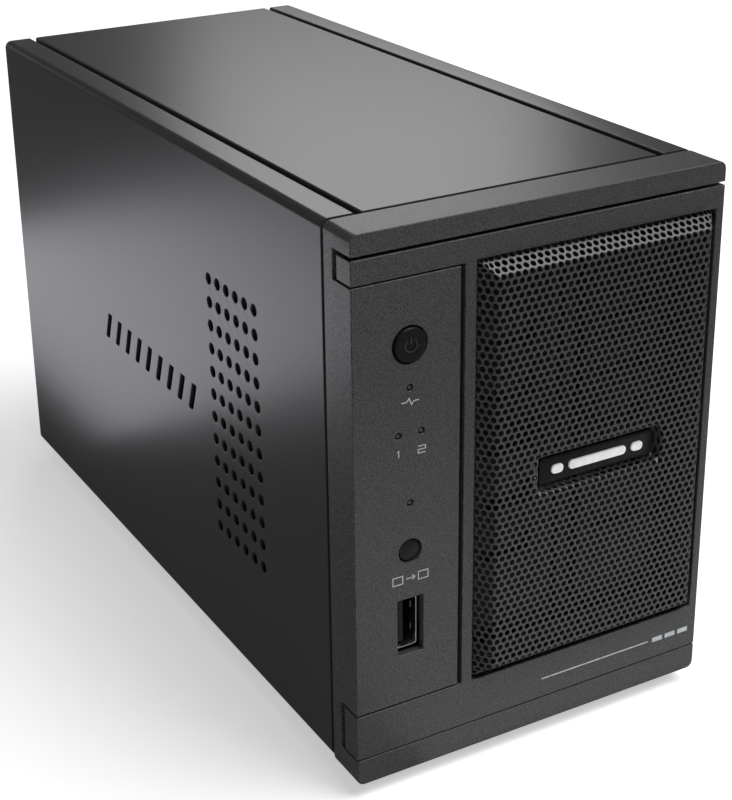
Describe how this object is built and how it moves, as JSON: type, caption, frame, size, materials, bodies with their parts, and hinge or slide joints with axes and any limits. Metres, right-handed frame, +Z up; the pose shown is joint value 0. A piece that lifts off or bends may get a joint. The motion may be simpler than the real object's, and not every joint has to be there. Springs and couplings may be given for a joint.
{
  "type": "nas enclosure",
  "caption": "Desktop network storage enclosure with drive trays behind a hinged grille door, a front control pillar, steel covers, and a rear fan and ports.",
  "frame": {"origin": "on the floor, under the middle of the case", "axes": "+Z up, the front with the door faces -Y, +X is to the right seen from the front"},
  "size_m": [0.101, 0.222, 0.142],
  "materials": {
    "cover_paint": "satin dark grey paint with a fine orange-peel texture",
    "bezel_plastic": "dark grey moulded plastic with a fine spark-eroded grain",
    "black_plastic": "black moulded plastic, semi-gloss",
    "black_grille": "black painted perforated steel sheet",
    "bare_steel": "zinc-plated sheet steel",
    "bright_metal": "bright nickel plating",
    "circuit_board": "green solder mask",
    "disk_metal": "cast and bead-blasted aluminium",
    "light_pipe": "frosted clear plastic",
    "soft_rubber": "matt black rubber",
    "badge_black": "gloss black with a plain pale inlay"
  },
  "bodies": {
    "case": {"activity_light": "light_pipe", "backplane": "circuit_board", "backup_light": "light_pipe", "backup_switch": "black_plastic", "bezel_frame": "bezel_plastic", "chassis": "cover_paint", "disk_1_light": "light_pipe", "disk_2_light": "light_pipe", "disk_socket_1": "black_plastic", "disk_socket_2": "black_plastic", "drive_cage": "bare_steel", "ethernet_jack": "bright_metal", "fan_frame": "black_plastic", "fan_guard": "bright_metal", "fan_screw_1": "bare_steel", "fan_screw_2": "bare_steel", "fan_screw_3": "bare_steel", "fan_screw_4": "bare_steel", "foot_back_left": "soft_rubber", "foot_back_right": "soft_rubber", "foot_front_left": "soft_rubber", "foot_front_right": "soft_rubber", "front_board": "circuit_board", "front_usb_shell": "bright_metal", "front_usb_tongue": "black_plastic", "heatsink": "bare_steel", "hinge_pin_bottom": "bare_steel", "hinge_pin_top": "bare_steel", "left_cover": "cover_paint", "main_board": "circuit_board", "power_inlet": "black_plastic", "power_switch": "black_plastic", "processor": "black_plastic", "rear_panel": "cover_paint", "rear_usb_shell_1": "bright_metal", "rear_usb_shell_2": "bright_metal", "rear_usb_tongue_1": "black_plastic", "rear_usb_tongue_2": "black_plastic", "reset_switch": "black_plastic", "right_cover": "cover_paint", "strike_plate": "bare_steel", "top_panel": "cover_paint"},
    "door": {"door_frame": "bezel_plastic", "door_grille": "black_grille", "badge_plate": "badge_black", "door_magnet": "bright_metal"},
    "power_button": {"power_button": "black_plastic"},
    "backup_button": {"backup_button": "black_plastic"},
    "reset_button": {"reset_button": "black_plastic"},
    "fan_rotor": {"fan_rotor": "black_plastic"},
    "tray_1": {"tray_1": "black_plastic", "hard_disk_1": "disk_metal"},
    "tray_2": {"tray_2": "black_plastic", "hard_disk_2": "disk_metal"},
    "tray_handle_1": {"tray_handle_1": "black_plastic"},
    "tray_handle_2": {"tray_handle_2": "black_plastic"}
  },
  "joints": [
    {"name": "door_hinge", "type": "hinge", "parent": "case", "child": "door", "pos_m": [-0.04745, -0.10465, 0.071], "axis": [0, 0, -1], "range_deg": [0, 110]},
    {"name": "power_press", "type": "slide", "parent": "case", "child": "power_button", "axis": [0, 1, 0], "range_m": [0, 0.0009], "stiffness_N_per_m": 600, "springref_m": -0.001},
    {"name": "backup_press", "type": "slide", "parent": "case", "child": "backup_button", "axis": [0, 1, 0], "range_m": [0, 0.0009], "stiffness_N_per_m": 600, "springref_m": -0.001},
    {"name": "reset_press", "type": "slide", "parent": "case", "child": "reset_button", "axis": [0, -1, 0], "range_m": [0, 0.0008], "stiffness_N_per_m": 600, "springref_m": -0.001},
    {"name": "fan_spin", "type": "hinge", "parent": "case", "child": "fan_rotor", "pos_m": [0.0115, 0.099, 0.085], "axis": [0, 1, 0], "continuous": true},
    {"name": "tray_handle_1_swing", "type": "hinge", "parent": "tray_1", "child": "tray_handle_1", "pos_m": [-0.0033, -0.0974, 0.03], "axis": [1, 0, 0], "range_deg": [0, 3.8]},
    {"name": "tray_1_slide", "type": "slide", "parent": "case", "child": "tray_1", "axis": [0, -1, 0], "range_m": [0, 0.002]},
    {"name": "tray_handle_2_swing", "type": "hinge", "parent": "tray_2", "child": "tray_handle_2", "pos_m": [0.0298, -0.0974, 0.03], "axis": [1, 0, 0], "range_deg": [0, 3.8]},
    {"name": "tray_2_slide", "type": "slide", "parent": "case", "child": "tray_2", "axis": [0, -1, 0], "range_m": [0, 0.002]}
  ]
}
